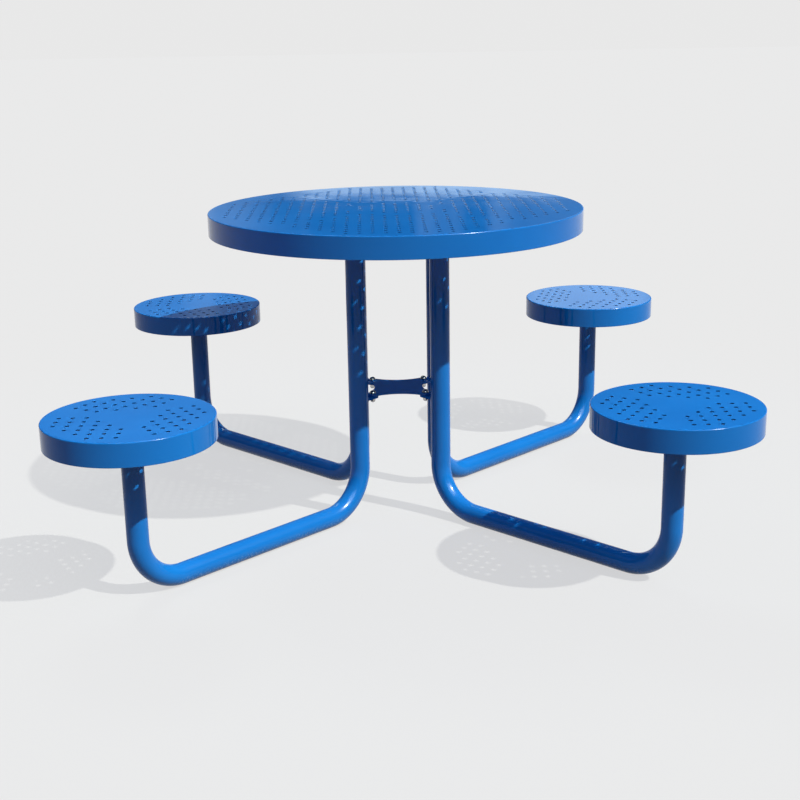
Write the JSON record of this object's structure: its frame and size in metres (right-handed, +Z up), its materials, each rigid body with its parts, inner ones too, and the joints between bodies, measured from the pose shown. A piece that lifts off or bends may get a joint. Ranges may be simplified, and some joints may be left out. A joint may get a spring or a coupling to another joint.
{
  "type": "round picnic table",
  "caption": "Round perforated steel picnic table with fixed round seats on bent tube legs that lie on the ground and are bolted to a lobed centre plate.",
  "frame": {"origin": "on the ground, on the axis of the round top", "axes": "+Z up along the axis of the top, -Y towards the viewer of the picture, the legs along the diagonals of X and Y"},
  "size_m": [1.5186, 1.5186, 0.762],
  "materials": {
    "blue_powder_coat": "glossy blue powder coat on steel",
    "zinc_plated_steel": "dull zinc plating",
    "stainless_steel": "bright plain stainless steel"
  },
  "bodies": {
    "root": {"table_top_sheet": "blue_powder_coat", "table_top_rim": "blue_powder_coat", "table_rib_long": "blue_powder_coat", "table_rib_short_left": "blue_powder_coat", "table_rib_short_right": "blue_powder_coat", "leg_tube_front_left": "blue_powder_coat", "leg_top_plate_front_left": "blue_powder_coat", "leg_seat_flange_front_left": "blue_powder_coat", "leg_ear_front_left": "blue_powder_coat", "leg_tube_front_right": "blue_powder_coat", "leg_top_plate_front_right": "blue_powder_coat", "leg_seat_flange_front_right": "blue_powder_coat", "leg_ear_front_right": "blue_powder_coat", "leg_tube_rear_right": "blue_powder_coat", "leg_top_plate_rear_right": "blue_powder_coat", "leg_seat_flange_rear_right": "blue_powder_coat", "leg_ear_rear_right": "blue_powder_coat", "leg_tube_rear_left": "blue_powder_coat", "leg_top_plate_rear_left": "blue_powder_coat", "leg_seat_flange_rear_left": "blue_powder_coat", "leg_ear_rear_left": "blue_powder_coat", "seat_sheet_front_left": "blue_powder_coat", "seat_rim_front_left": "blue_powder_coat", "seat_spider_front_left": "blue_powder_coat", "seat_sheet_front_right": "blue_powder_coat", "seat_rim_front_right": "blue_powder_coat", "seat_spider_front_right": "blue_powder_coat", "seat_sheet_rear_right": "blue_powder_coat", "seat_rim_rear_right": "blue_powder_coat", "seat_spider_rear_right": "blue_powder_coat", "seat_sheet_rear_left": "blue_powder_coat", "seat_rim_rear_left": "blue_powder_coat", "seat_spider_rear_left": "blue_powder_coat", "centre_plate": "blue_powder_coat", "top_mount_bolts": "zinc_plated_steel", "top_mount_washers": "zinc_plated_steel", "top_weld_nuts": "zinc_plated_steel", "seat_mount_bolts": "zinc_plated_steel", "seat_mount_washers": "zinc_plated_steel", "seat_weld_nuts": "zinc_plated_steel", "centre_bolts": "stainless_steel", "centre_washers": "stainless_steel", "centre_dome_nuts": "stainless_steel"}
  },
  "joints": []
}
